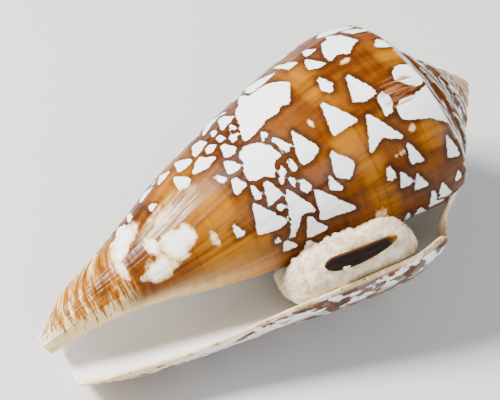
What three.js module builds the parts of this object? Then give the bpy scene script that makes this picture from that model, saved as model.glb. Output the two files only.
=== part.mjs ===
// A tent-marked cone shell lying on its side, its dark operculum set on a wad of cotton wool in the opening.
//
// Millimetres, +Z up. The shell is first shaped about its own coiling axis, with the narrow front tip at
// height 0 and the spire at the top, and is then laid down in its resting pose at the end.
//
// The shell is one coiled sheet. A point on it is named by two numbers:
//   turns: how far back from the opening it grew, in whole turns. One turn back lies one whorl further in.
//   row:   0 at the front rim, 1 at the shoulder, 2 at the suture, where the sloping top meets the next whorl.
// Seen from the spire the turns run anticlockwise, so the shell grew clockwise, as a right-handed shell does.

import * as THREE from "three";

// Size and rest

const SHELL_LENGTH = 62.0;
const REST_TILT = 12.823;
const REST_SPIN = 55.979;

// How deep the underside is worn flat where the shell rests

const WORN_FLAT = 0.4;

// Growth of the whorls: radius and height of the shoulder at each number of turns back

const SHOULDER_RADIUS = [
  [-0.2, 17.3], [0, 15.7], [0.25, 15.3], [0.5, 14.3], [0.75, 12.7], [1, 10.8], [1.5, 9.4],
  [2, 7.8], [2.5, 6.2], [3, 4.7], [3.5, 3.6], [4, 2.7], [4.5, 2.0], [5, 1.4], [5.5, 0.9], [6, 0.35],
];
const SHOULDER_HEIGHT = [
  [-0.2, 45.4], [0, 47], [0.25, 50], [0.5, 52.1], [0.75, 53.1], [1, 53.6], [1.5, 54.9],
  [2, 56.1], [2.5, 57.3], [3, 58.5], [3.5, 59.4], [4, 60.1], [4.5, 60.7], [5, 61.2], [5.5, 61.6], [6, 61.9],
];
const RIM_HEIGHT = [
  [-0.2, 1.2], [0, 1.4], [0.1, 2.0], [0.2, 2.2], [0.35, 1.3], [0.6, 0], [0.8, 0.2], [1, 0.8], [1.5, 2], [2, 4],
];

// The axis itself wanders a little: how far it leans toward the opening's side at each height

const AXIS_LEAN = [[0, -0.8], [15, -0.35], [30, -0.1], [45, 0], [52, -0.1], [57, -0.2], [62, -0.1]];

// Side outline, as a share of the shoulder radius, on five lines round the shell

const SIDE_OUTLINES = [
  [0, [[0, 0.41], [0.12, 0.56], [0.3, 0.69], [0.43, 0.77], [0.55, 0.845], [0.67, 0.93], [0.8, 1.005],
    [0.92, 1.04], [1, 1.0]]],
  [0.25, [[0, 0.2], [0.12, 0.4], [0.3, 0.6], [0.43, 0.73], [0.55, 0.82], [0.67, 0.9], [0.8, 0.995],
    [0.88, 1.045], [0.94, 1.05], [1, 0.985]]],
  [0.5, [[0, 0.05], [0.04, 0.15], [0.1, 0.28], [0.165, 0.345], [0.305, 0.53], [0.42, 0.69], [0.51, 0.785],
    [0.606, 0.87], [0.73, 0.965], [0.85, 1.03], [0.93, 1.035], [1, 0.965]]],
  [1, [[0, 0.14], [0.06, 0.125], [0.14, 0.135], [0.27, 0.25], [0.38, 0.43], [0.57, 0.665], [0.7, 0.825],
    [0.85, 0.925], [0.95, 0.985], [1, 0.955]]],
  [2, [[0, 0.02], [0.14, 0.08], [0.27, 0.16], [0.38, 0.28], [0.57, 0.5], [0.7, 0.68], [0.85, 0.86],
    [0.95, 0.97], [1, 0.97]]],
];

// The free edge of the outer lip, and how far back the hollow is open, both in turns on each row

const LIP_EDGE = [
  [0, -0.005], [0.05, -0.045], [0.3, -0.07], [0.6, -0.095], [0.85, -0.1], [1, -0.088], [1.3, -0.02],
  [1.6, 0], [2, -0.05],
];
const HOLLOW_END = [[0, 0.42], [0.3, 0.7], [0.6, 0.8], [2, 0.8]];
const LIP_THICKNESS = 0.45;
const WALL_THICKNESS = [[0, 2.0], [0.12, 1.75], [0.25, 0.95], [0.4, 0.62], [0.6, 0.5], [0.85, 0.45]];
const WALL_GROWS_OVER = 0.16;
const SUTURE_STEP = 0.045;
const ROOF_JOINS_AT = 0.955;

// Fineness of the faceted shell

const COLUMNS_PER_TURN = 40;
const SIDE_ROWS = [
  0, 0.04, 0.09, 0.15, 0.21, 0.27, 0.33, 0.4, 0.47, 0.54, 0.61, 0.68, 0.75, 0.82, 0.88, 0.92, ROOF_JOINS_AT,
];
const TOP_ROWS = [1.3, 1.65];
const SPIRE_TURNS = 6;

// Cotton wad and operculum

const WAD_BOTTOM = 28.2;
const WAD_TOP = 43.5;
const WAD_OUTER_TURN = -0.148;
const WAD_INNER_TURN = 0.1;
const WAD_GAP = 0.35;
const OPERCULUM_LOW_END = [9.15, -11.0, 31.2];
const OPERCULUM_HIGH_END = [10.95, -11.9, 40.3];
const OPERCULUM_FACES = [0.3, -0.95, -0.05];
const OPERCULUM_LENGTH = 9.3;
const OPERCULUM_WIDTH = 1.95;
const OPERCULUM_THICKNESS = 0.7;

// A smooth curve through hand-placed points, flat beyond its two ends

function smooth(knots, x) {
  const last = knots.length - 1;
  if (x <= knots[0][0]) return knots[0][1];
  if (x >= knots[last][0]) return knots[last][1];
  let i = 0;
  while (x >= knots[i + 1][0]) i += 1;
  const slope = (k) => (knots[k + 1][1] - knots[k][1]) / (knots[k + 1][0] - knots[k][0]);
  const step = (k) => knots[k + 1][0] - knots[k][0];
  const tangent = (k) => {
    if (k === 0) return slope(0);
    if (k === last) return slope(last - 1);
    return (slope(k - 1) * step(k) + slope(k) * step(k - 1)) / (step(k) + step(k - 1));
  };
  const u = (x - knots[i][0]) / step(i);
  return (2 * u ** 3 - 3 * u ** 2 + 1) * knots[i][1]
    + (u ** 3 - 2 * u ** 2 + u) * step(i) * tangent(i)
    + (-2 * u ** 3 + 3 * u ** 2) * knots[i + 1][1]
    + (u ** 3 - u ** 2) * step(i) * tangent(i + 1);
}

function clamp(x, low, high) {
  return Math.min(Math.max(x, low), high);
}

// Radius and height of the coiled sheet's outer face

function sideFace(turns, row) {
  const across = SIDE_OUTLINES.map(([t, outline]) => [t, smooth(outline, row)]);
  const share = smooth(across, turns);
  const rim = smooth(RIM_HEIGHT, turns);
  const top = smooth(SHOULDER_HEIGHT, turns);
  return [smooth(SHOULDER_RADIUS, turns) * share, rim + (top - rim) * row];
}

function stepRow(turns) {
  const height = smooth(SHOULDER_HEIGHT, turns) - smooth(RIM_HEIGHT, turns);
  return 1 - (SUTURE_STEP * smooth(SHOULDER_RADIUS, turns)) / height;
}

function outerFace(turns, row) {
  if (row <= 1) return sideFace(turns, row);
  const [r0, a0] = sideFace(turns, 1);
  const [r1, a1] = sideFace(turns + 1, stepRow(turns + 1));
  const w = row - 1;
  const swell = 0.05 * (r0 - r1) * Math.sin(2 * Math.PI * w);
  return [r0 + (r1 - r0) * w, a0 + (a1 - a0) * w + swell];
}

// Radius and height of the inner face: the roof of the hollow on the same rows

function wallThickness(turns, row) {
  const fromEdge = clamp((turns - smooth(LIP_EDGE, row)) / WALL_GROWS_OVER, 0, 1);
  const full = smooth(WALL_THICKNESS, turns);
  const grown = LIP_THICKNESS + (full - LIP_THICKNESS) * fromEdge * fromEdge * (3 - 2 * fromEdge);
  const side = Math.min(row, 1);
  const gap = sideFace(turns, side)[0] - sideFace(turns + 1, side)[0];
  return Math.min(grown, 0.4 * gap);
}

function innerFace(turns, row) {
  const side = Math.min(row, 1);
  const thick = wallThickness(turns, row);
  const [r, a] = sideFace(turns, side);
  const inner = [r - thick, a - 1.2 * thick * side ** 3];
  if (row <= 1) return inner;
  const [rf, af] = sideFace(turns + 1, ROOF_JOINS_AT);
  const w = row - 1;
  return [inner[0] + (rf - inner[0]) * w, inner[1] + (af - inner[1]) * w];
}

// From turns, radius and height to a point about the shell's own axis

function place(turns, [radius, height]) {
  const angle = 2 * Math.PI * turns;
  const lean = smooth(AXIS_LEAN, height);
  return new THREE.Vector3(radius * Math.cos(angle) + lean, radius * Math.sin(angle), height);
}

// An indexed mesh that is filled grid by grid

class Skin {
  constructor() {
    this.points = [];
    this.triangles = [];
  }

  point(v) {
    this.points.push(v);
    return this.points.length - 1;
  }

  triangle(a, b, c) {
    if (a !== b && b !== c && a !== c) this.triangles.push(a, b, c);
  }

  // A sheet between rows of points; its face is out where columns run to the right and rows run up
  sheet(rows) {
    for (let i = 0; i + 1 < rows.length; i += 1) {
      for (let j = 0; j + 1 < rows[i].length; j += 1) {
        this.triangle(rows[i][j], rows[i][j + 1], rows[i + 1][j + 1]);
        this.triangle(rows[i][j], rows[i + 1][j + 1], rows[i + 1][j]);
      }
    }
  }

  geometry() {
    const flat = new Float32Array(this.points.length * 3);
    this.points.forEach((v, i) => v.toArray(flat, i * 3));
    const geometry = new THREE.BufferGeometry();
    geometry.setAttribute("position", new THREE.BufferAttribute(flat, 3));
    geometry.setIndex(this.triangles);
    geometry.computeVertexNormals();
    return geometry;
  }
}

// The underside worn flat: no point lies more than WORN_FLAT below the rest of the shell's back

function wearUnderside(points) {
  const tilt = THREE.MathUtils.degToRad(REST_TILT);
  const spin = THREE.MathUtils.degToRad(REST_SPIN);
  const across = Math.cos(tilt);
  const down = new THREE.Vector3(across * Math.cos(spin), across * Math.sin(spin), -Math.sin(tilt));
  const lowest = Math.max(...points.map((v) => v.dot(down)));
  points.forEach((v) => {
    const beyond = v.dot(down) - (lowest - WORN_FLAT);
    if (beyond > 0) v.addScaledVector(down, -beyond);
  });
}

// The shell

function makeShell() {
  const skin = new Skin();
  const n = COLUMNS_PER_TURN;
  const sutureStart = smooth(LIP_EDGE, 2);
  const joinTurn = 1 + sutureStart;
  const apex = skin.point(place(0, [0, SHELL_LENGTH]));

  // Spire: step, shoulder and top rows from one turn back to the apex
  const spireColumns = Math.round((SPIRE_TURNS - 1) * n);
  const spireRows = ["step", 1, ...TOP_ROWS].map((row) => {
    const line = [];
    for (let j = 0; j <= spireColumns; j += 1) {
      const turns = joinTurn + j / n;
      const at = row === "step" ? stepRow(turns) : row;
      line.push(j === spireColumns ? apex : skin.point(place(turns, outerFace(turns, at))));
    }
    return line;
  });
  const step = spireRows[0];
  const suture = step.map((_, j) => (j + n < step.length ? step[j + n] : apex));
  skin.sheet([...spireRows, suture]);

  // Body whorl: every row from the lip's free edge to one turn back
  const bodyRows = [...SIDE_ROWS, "step", 1, ...TOP_ROWS].map((row) => {
    const line = [];
    const spireRow = ["step", 1, ...TOP_ROWS].indexOf(row);
    for (let i = 0; i <= n; i += 1) {
      if (i === n && spireRow >= 0) {
        line.push(spireRows[spireRow][0]);
        continue;
      }
      const edge = smooth(LIP_EDGE, row === "step" ? 0.987 : row);
      const turns = edge + ((joinTurn - edge) * i) / n;
      const at = row === "step" ? stepRow(turns) : row;
      line.push(skin.point(place(turns, outerFace(turns, at))));
    }
    return line;
  });
  bodyRows.push(step.slice(0, n + 1));
  skin.sheet(bodyRows);

  // Floor of the hollow: the side of the whorl inside, carried on past the lip
  const deep = Math.round((HOLLOW_END[3][1] - sutureStart) * n);
  const floorRows = SIDE_ROWS.map((row, k) => {
    const line = [bodyRows[k][n]];
    const end = smooth(HOLLOW_END, row);
    for (let i = 1; i <= deep; i += 1) {
      const turns = joinTurn + ((end - sutureStart) * i) / deep;
      line.push(skin.point(place(turns, outerFace(turns, row))));
    }
    return line;
  });
  skin.sheet(floorRows);

  // Roof of the hollow: the inner face, from the lip's edge to the hollow's end
  const roofRows = [...SIDE_ROWS, 0.987, 1, ...TOP_ROWS].map((row) => {
    const line = [];
    const edge = smooth(LIP_EDGE, row);
    const end = smooth(HOLLOW_END, row);
    for (let i = 0; i <= deep; i += 1) {
      const turns = edge + ((end - edge) * i) / deep;
      line.push(skin.point(place(turns, innerFace(turns, row))));
    }
    return line;
  });
  roofRows.push(floorRows[floorRows.length - 1]);
  skin.sheet(roofRows.map((line) => [...line].reverse()));

  // The lip's edge, the hollow's end and the front rim close the sheet
  skin.sheet(roofRows.map((line, k) => [line[0], bodyRows[k][0]]));
  const lastFloor = floorRows[floorRows.length - 1][deep];
  skin.sheet(roofRows.map((line, k) => [k < floorRows.length ? floorRows[k][deep] : lastFloor, line[deep]]));

  const outerRim = bodyRows[0].concat(floorRows[0].slice(1));
  const innerRim = roofRows[0];
  const rimEnd = outerRim.length - 1;
  const edgeAt = smooth(LIP_EDGE, 0);
  const openTurns = smooth(HOLLOW_END, 0) - edgeAt;
  let outerIndex = 0;
  let innerIndex = 0;
  const meet = Math.round((openTurns / (joinTurn - edgeAt)) * n);
  while (outerIndex < meet || innerIndex < deep) {
    const outerFirst = (outerIndex + 1) / meet <= (innerIndex + 1) / deep;
    if (innerIndex === deep || (outerIndex < meet && outerFirst)) {
      skin.triangle(innerRim[innerIndex], outerRim[outerIndex + 1], outerRim[outerIndex]);
      outerIndex += 1;
    } else {
      skin.triangle(innerRim[innerIndex], innerRim[innerIndex + 1], outerRim[outerIndex]);
      innerIndex += 1;
    }
  }
  const centre = skin.point(place(0, [0, 0.45]));
  skin.triangle(innerRim[deep], outerRim[meet + 1], outerRim[meet]);
  skin.triangle(outerRim[rimEnd], outerRim[meet + 1], innerRim[deep]);
  skin.triangle(centre, outerRim[meet + 1], outerRim[rimEnd]);
  for (let i = meet + 1; i < rimEnd; i += 1) skin.triangle(centre, outerRim[i + 1], outerRim[i]);
  wearUnderside(skin.points);
  return skin.geometry();
}

// The row of a whorl's side that lies at a given height

function rowAtHeight(turns, height) {
  const rim = smooth(RIM_HEIGHT, turns);
  return clamp((height - rim) / (smooth(SHOULDER_HEIGHT, turns) - rim), 0, 1);
}

// A point in or before the opening: across is 0 on the inner whorl and 1 on the lip's inner face

function insideOpening(turns, across, height) {
  const floor = sideFace(turns + 1, rowAtHeight(turns + 1, height))[0] + WAD_GAP;
  const edge = smooth(LIP_EDGE, 0.6);
  const lipTurn = Math.max(turns, edge);
  const row = rowAtHeight(lipTurn, height);
  const roof = sideFace(lipTurn, row)[0] - wallThickness(lipTurn, row) - WAD_GAP;
  return place(turns, [floor + (roof - floor) * across, height]);
}

// A small even lumpiness for the wool, from a few crossing waves

function lump(a, b, c) {
  return Math.sin(3.1 * a + 1.3 * c) * Math.sin(2.3 * b + 0.7) + 0.6 * Math.sin(5.3 * b - 2.1 * a + 1.9 * c);
}

function makeWad() {
  const skin = new Skin();
  const round = 24;
  const along = 18;
  const middle = 0.5 * (WAD_OUTER_TURN + WAD_INNER_TURN);
  const halfDepth = 0.5 * (WAD_INNER_TURN - WAD_OUTER_TURN);
  const boxy = (x) => Math.sign(x) * Math.abs(x) ** 0.55;
  const rows = [];
  for (let i = 1; i < along; i += 1) {
    const angle = (Math.PI * i) / along;
    const height = WAD_BOTTOM + (WAD_TOP - WAD_BOTTOM) * (0.5 - 0.5 * boxy(Math.cos(angle)));
    const girth = Math.sin(angle) ** 0.55;
    const line = [];
    for (let j = 0; j < round; j += 1) {
      const turn = (-2 * Math.PI * j) / round;
      const inward = girth * boxy(Math.cos(turn));
      const across = 0.5 + 0.5 * girth * boxy(Math.sin(turn));
      const wool = 0.006 * lump(inward * 2, across * 4, height * 0.5);
      const turns = middle + halfDepth * inward + (inward < 0 ? wool : 0);
      line.push(skin.point(insideOpening(turns, across, height)));
    }
    line.push(line[0]);
    rows.push(line);
  }
  const bottom = skin.point(insideOpening(middle, 0.5, WAD_BOTTOM));
  const top = skin.point(insideOpening(middle, 0.5, WAD_TOP));
  skin.sheet([rows[0].map(() => bottom), ...rows, rows[0].map(() => top)]);
  return skin.geometry();
}

// The operculum: a thin horny blade, rounded at its lower end and narrower at its upper end

const BLADE_WIDTH = [
  [0, 0], [0.03, 0.42], [0.09, 0.78], [0.2, 0.97], [0.35, 1], [0.6, 0.9], [0.8, 0.72], [0.92, 0.52],
  [0.975, 0.3], [1, 0],
];
const BLADE_BEND = [[0, 0.05], [0.35, -0.06], [0.7, 0.02], [1, 0.22]];

function makeOperculum() {
  const skin = new Skin();
  const round = 16;
  const stations = [0.012, 0.03, 0.06, 0.1, 0.17, 0.27, 0.38, 0.5, 0.62, 0.73, 0.82, 0.89, 0.94, 0.97, 0.99];
  const rows = stations.map((s) => {
    const wide = 0.5 * OPERCULUM_WIDTH * smooth(BLADE_WIDTH, s);
    const thick = 0.5 * OPERCULUM_THICKNESS * Math.sqrt(smooth(BLADE_WIDTH, s));
    const line = [];
    for (let j = 0; j < round; j += 1) {
      const turn = (2 * Math.PI * j) / round;
      const across = wide * Math.cos(turn) + OPERCULUM_WIDTH * smooth(BLADE_BEND, s);
      const up = thick * Math.sign(Math.sin(turn)) * Math.abs(Math.sin(turn)) ** 0.7;
      line.push(skin.point(new THREE.Vector3(OPERCULUM_LENGTH * (s - 0.5), across, up)));
    }
    line.push(line[0]);
    return line;
  });
  const tip = (s) => new THREE.Vector3(OPERCULUM_LENGTH * (s - 0.5), OPERCULUM_WIDTH * smooth(BLADE_BEND, s), 0);
  const low = skin.point(tip(0));
  const high = skin.point(tip(1));
  skin.sheet([rows[0].map(() => low), ...rows, rows[0].map(() => high)]);
  return skin.geometry();
}

// Materials

const shellMaterial = new THREE.MeshStandardMaterial({ color: 0xb5651d, roughness: 0.25, metalness: 0 });
const woolMaterial = new THREE.MeshStandardMaterial({ color: 0xeee6d2, roughness: 1, metalness: 0 });
const hornMaterial = new THREE.MeshStandardMaterial({ color: 0x2a1408, roughness: 0.45, metalness: 0 });

// The three pieces about the shell's own axis

const shell = new THREE.Mesh(makeShell(), shellMaterial);
shell.name = "shell";

const wad = new THREE.Mesh(makeWad(), woolMaterial);
wad.name = "cotton_plug";

const operculum = new THREE.Mesh(makeOperculum(), hornMaterial);
operculum.name = "operculum";
const bladeLow = new THREE.Vector3(...OPERCULUM_LOW_END);
const bladeHigh = new THREE.Vector3(...OPERCULUM_HIGH_END);
const lengthwise = bladeHigh.clone().sub(bladeLow).normalize();
const outward = new THREE.Vector3(...OPERCULUM_FACES);
outward.addScaledVector(lengthwise, -outward.dot(lengthwise)).normalize();
const sideways = new THREE.Vector3().crossVectors(outward, lengthwise);
operculum.quaternion.setFromRotationMatrix(new THREE.Matrix4().makeBasis(lengthwise, sideways, outward));
operculum.position.copy(bladeLow).add(bladeHigh).multiplyScalar(0.5);

// Lay the shell down: the axis turned level with its tip lower, and rolled onto the back of the outer whorl

const standing = new THREE.Group();
standing.add(shell, wad, operculum);

const tilt = THREE.MathUtils.degToRad(REST_TILT);
const spin = THREE.MathUtils.degToRad(REST_SPIN);
const axis = new THREE.Vector3(Math.cos(tilt), 0, Math.sin(tilt));
const below = new THREE.Vector3(Math.sin(tilt), 0, -Math.cos(tilt));
const behind = new THREE.Vector3(0, 1, 0);
const lipSide = below.clone().multiplyScalar(Math.cos(spin)).addScaledVector(behind, -Math.sin(spin));
const backSide = below.clone().multiplyScalar(Math.sin(spin)).addScaledVector(behind, Math.cos(spin));
standing.quaternion.setFromRotationMatrix(new THREE.Matrix4().makeBasis(lipSide, backSide, axis));
standing.updateMatrixWorld(true);

// Stand the box of the whole on height 0, centred on the origin

const box = new THREE.Box3().setFromObject(standing, true);
standing.position.set(-(box.min.x + box.max.x) / 2, -(box.min.y + box.max.y) / 2, -box.min.z);

const group = new THREE.Group();
group.name = "cone_shell";
group.add(standing);
group.updateMatrixWorld(true);

export default group;
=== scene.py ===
"""A tent-marked cone shell on its side, with its operculum on a wad of cotton wool in the mouth.

The shell is shaped in millimetres about its own coiling axis, from the same growth curves as the solid it
stands for, and is then laid down in the frame. A point on the coiled sheet has two numbers: turns, how far
back from the lip it grew, and row, 0 at the front rim, 1 at the shoulder and 2 at the suture.
"""

import math
from types import SimpleNamespace

import bpy
import numpy as np
from mathutils import Matrix, Vector, noise


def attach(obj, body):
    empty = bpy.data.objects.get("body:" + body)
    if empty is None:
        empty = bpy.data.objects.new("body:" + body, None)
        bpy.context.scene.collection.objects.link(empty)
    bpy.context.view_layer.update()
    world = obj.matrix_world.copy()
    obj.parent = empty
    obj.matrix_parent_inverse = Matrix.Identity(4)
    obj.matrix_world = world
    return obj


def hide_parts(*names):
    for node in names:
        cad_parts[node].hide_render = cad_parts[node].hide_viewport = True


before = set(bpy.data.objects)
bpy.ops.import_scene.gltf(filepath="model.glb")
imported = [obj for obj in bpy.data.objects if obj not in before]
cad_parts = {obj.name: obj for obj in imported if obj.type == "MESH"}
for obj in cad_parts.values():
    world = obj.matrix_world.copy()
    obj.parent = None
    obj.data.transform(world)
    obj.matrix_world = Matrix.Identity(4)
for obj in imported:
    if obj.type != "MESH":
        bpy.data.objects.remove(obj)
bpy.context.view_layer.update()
MM = 0.001

# Rest pose and growth of the whorls

REST_TILT = math.radians(12.823)
REST_SPIN = math.radians(55.979)
SHELL_LENGTH = 62.0
SHOULDER_RADIUS = [
    (-0.2, 17.3), (0, 15.7), (0.25, 15.3), (0.5, 14.3), (0.75, 12.7), (1, 10.8), (1.5, 9.4),
    (2, 7.8), (2.5, 6.2), (3, 4.7), (3.5, 3.6), (4, 2.7), (4.5, 2.0), (5, 1.4), (5.5, 0.9), (6, 0.35),
]
SHOULDER_HEIGHT = [
    (-0.2, 45.4), (0, 47), (0.25, 50), (0.5, 52.1), (0.75, 53.1), (1, 53.6), (1.5, 54.9), (2, 56.1),
    (2.5, 57.3), (3, 58.5), (3.5, 59.4), (4, 60.1), (4.5, 60.7), (5, 61.2), (5.5, 61.6), (6, 61.9),
]
RIM_HEIGHT = [
    (-0.2, 1.2), (0, 1.4), (0.1, 2.0), (0.2, 2.2), (0.35, 1.3), (0.6, 0), (0.8, 0.2), (1, 0.8),
    (1.5, 2), (2, 4),
]
AXIS_LEAN = [(0, -0.8), (15, -0.35), (30, -0.1), (45, 0), (52, -0.1), (57, -0.2), (62, -0.1)]
SIDE_OUTLINES = [
    (0, [(0, 0.41), (0.12, 0.56), (0.3, 0.69), (0.43, 0.77), (0.55, 0.845), (0.67, 0.93), (0.8, 1.005),
         (0.92, 1.04), (1, 1.0)]),
    (0.25, [(0, 0.2), (0.12, 0.4), (0.3, 0.6), (0.43, 0.73), (0.55, 0.82), (0.67, 0.9), (0.8, 0.995),
            (0.88, 1.045), (0.94, 1.05), (1, 0.985)]),
    (0.5, [(0, 0.05), (0.04, 0.15), (0.1, 0.28), (0.165, 0.345), (0.305, 0.53), (0.42, 0.69),
           (0.51, 0.785), (0.606, 0.87), (0.73, 0.965), (0.85, 1.03), (0.93, 1.035), (1, 0.965)]),
    (1, [(0, 0.14), (0.06, 0.125), (0.14, 0.135), (0.27, 0.25), (0.38, 0.43), (0.57, 0.665), (0.7, 0.825),
         (0.85, 0.925), (0.95, 0.985), (1, 0.955)]),
    (2, [(0, 0.02), (0.14, 0.08), (0.27, 0.16), (0.38, 0.28), (0.57, 0.5), (0.7, 0.68), (0.85, 0.86),
         (0.95, 0.97), (1, 0.97)]),
]

# The lip's free edge, the hollow and the wall

LIP_EDGE = [
    (0, -0.005), (0.05, -0.045), (0.3, -0.07), (0.6, -0.095), (0.85, -0.1), (1, -0.088), (1.3, -0.02),
    (1.6, 0), (2, -0.05),
]
HOLLOW_END = [(0, 0.42), (0.3, 0.7), (0.6, 0.8), (2, 0.8)]
LIP_THICKNESS = 0.45
WALL_THICKNESS = [(0, 2.0), (0.12, 1.75), (0.25, 0.95), (0.4, 0.62), (0.6, 0.5), (0.85, 0.45)]
WALL_GROWS_OVER = 0.16
SUTURE_STEP = 0.045
ROOF_JOINS_AT = 0.955

# Fineness of the modelled shell

COLUMNS_PER_TURN = 300
HOLLOW_COLUMNS = 100
SPIRE_TURNS = 6
FRONT_ROWS = 46
FRONT_SHARE = 0.28
SIDE_ROWS = np.concatenate([
    np.linspace(0, FRONT_SHARE, FRONT_ROWS, endpoint=False),
    np.linspace(FRONT_SHARE, ROOF_JOINS_AT, 82),
])
LIP_ROUND = 3
UPPER_ROWS = [ROOF_JOINS_AT + (k + 1) * 0.0072 for k in range(LIP_ROUND)]
TOP_ROWS = [1.03, 1.08, 1.15, 1.24, 1.35, 1.47, 1.6, 1.72, 1.83, 1.92, 1.975]
ROOF_CORNER_ROWS = [0.985, 0.99, 0.995, 1.0]

# The step between a whorl's suture and its shoulder has lines of its own: its foot, and shares of its height

STEP = -1.0
STEP_SHARES = (0.34, 0.67)
STEP_EDGE_ROW = 0.987
SHOULDER_LINES = [STEP, *STEP_SHARES, 1.0, *TOP_ROWS]

# Camera: the direction it looks from and its roll, about the shell's own axis, and the photograph's frame

VIEW_DIP = math.radians(13.36)
VIEW_ROLL = math.radians(32.197)
VIEW_DISTANCE = 240.0
VIEW_TARGET = (0.0, 0.0, 31.0)
FOCAL_PIXELS = 1997.9
FRAME_SIZE = (500, 400)
TARGET_PIXEL = (261.8, 213.35)
SENSOR_WIDTH = 36.0

# White tents that the photograph shows: tip, upper corner and lower corner, each as turns and height in mm,
# then how deep the notch between the corners is, as a share of the length. Below 0 it bulges instead.

TENTS = [
    # shoulder
    ((0.545, 50.0), (0.580, 53.2), (0.575, 50.6), 0.0),
    ((0.612, 52.0), (0.640, 53.4), (0.625, 51.1), -0.1),
    ((0.800, 52.2), (0.850, 52.9), (0.838, 51.2), 0.0),
    ((0.878, 52.1), (0.902, 52.6), (0.898, 51.5), 0.0),
    ((0.877, 49.6), (0.930, 51.0), (0.925, 48.7), 0.0),
    ((0.882, 48.2), (0.945, 50.0), (0.940, 47.9), 0.0),
    ((0.777, 47.3), (0.817, 48.2), (0.812, 46.6), 0.05),
    ((0.831, 46.8), (0.865, 47.8), (0.861, 46.1), 0.0),
    ((0.813, 45.2), (0.843, 46.2), (0.841, 44.5), -0.1),
    ((0.792, 44.0), (0.812, 44.6), (0.814, 43.3), -0.35),
    ((0.918, 46.5), (0.965, 47.9), (0.960, 46.2), 0.0),
    ((0.915, 44.9), (0.960, 45.7), (0.965, 45.0), 0.0),
    ((0.645, 45.85), (0.692, 47.4), (0.684, 44.4), -0.15),
    ((0.709, 44.9), (0.767, 47.2), (0.760, 42.9), 0.3),
    ((0.545, 44.9), (0.566, 46.0), (0.568, 44.4), 0.0),
    ((0.571, 43.9), (0.608, 45.0), (0.597, 43.1), -0.1),
    ((0.620, 43.1), (0.642, 44.0), (0.644, 42.4), -0.5),
    ((0.522, 41.4), (0.566, 43.2), (0.566, 41.9), 0.0),
    ((0.656, 41.4), (0.711, 43.6), (0.709, 40.2), 0.0),
    # middle
    ((0.725, 39.0), (0.760, 40.8), (0.765, 37.9), -0.45),
    ((0.665, 36.7), (0.712, 38.1), (0.718, 35.2), -0.15),
    ((0.756, 37.4), (0.788, 38.2), (0.778, 36.8), -0.1),
    ((0.764, 35.3), (0.833, 38.7), (0.824, 34.3), 0.0),
    ((0.733, 34.4), (0.757, 35.2), (0.754, 33.9), -0.4),
    ((0.697, 34.5), (0.717, 35.0), (0.718, 34.0), -0.2),
    ((0.648, 34.2), (0.683, 35.6), (0.690, 34.9), 0.0),
    ((0.630, 33.9), (0.647, 34.5), (0.654, 33.6), 0.0),
    ((0.722, 33.5), (0.736, 34.0), (0.742, 33.3), 0.0),
    ((0.686, 33.2), (0.712, 33.7), (0.728, 32.3), 0.0),
    ((0.800, 33.3), (0.848, 34.9), (0.852, 32.3), -0.05),
    ((0.735, 32.4), (0.800, 34.6), (0.838, 30.6), 0.35),
    ((0.748, 30.9), (0.765, 31.4), (0.768, 30.5), 0.0),
    ((0.855, 32.3), (0.885, 33.5), (0.910, 31.2), 0.0),
    ((0.520, 32.3), (0.565, 33.3), (0.570, 31.1), 0.0),
    ((0.573, 32.1), (0.588, 32.6), (0.594, 31.7), 0.0),
    ((0.699, 31.0), (0.742, 31.9), (0.748, 29.9), -0.1),
    # lower middle
    ((0.725, 28.5), (0.795, 31.1), (0.787, 27.3), -0.1),
    ((0.827, 29.8), (0.862, 31.1), (0.864, 29.3), 0.0),
    ((0.811, 28.95), (0.828, 29.4), (0.830, 28.9), 0.0),
    ((0.583, 31.2), (0.605, 32.0), (0.612, 30.8), -0.15),
    ((0.571, 30.2), (0.590, 30.9), (0.592, 29.6), -0.1),
    ((0.543, 30.3), (0.560, 30.8), (0.565, 29.8), 0.0),
    ((0.593, 29.8), (0.625, 30.8), (0.627, 28.9), -0.15),
    ((0.695, 29.5), (0.727, 29.8), (0.727, 28.9), 0.0),
    ((0.624, 28.7), (0.660, 29.9), (0.660, 28.0), 0.0),
    ((0.661, 28.2), (0.692, 29.1), (0.695, 27.3), -0.05),
    ((0.568, 28.5), (0.588, 29.4), (0.592, 27.8), -0.2),
    ((0.515, 28.3), (0.565, 29.0), (0.572, 26.4), -0.05),
    ((0.577, 26.8), (0.610, 28.3), (0.600, 25.0), -0.4),
    ((0.638, 26.8), (0.660, 27.7), (0.661, 26.9), 0.0),
    ((0.528, 24.9), (0.573, 26.5), (0.567, 24.1), -0.1),
    ((0.566, 23.3), (0.605, 24.7), (0.607, 22.7), -0.3),
    ((0.740, 25.3), (0.770, 26.1), (0.773, 25.1), 0.0),
    ((0.564, 19.2), (0.585, 19.9), (0.586, 18.9), 0.0),
    ((0.520, 17.2), (0.545, 18.2), (0.548, 17.0), 0.0),
]

# Larger white patches, as outlines in turns and height

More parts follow.
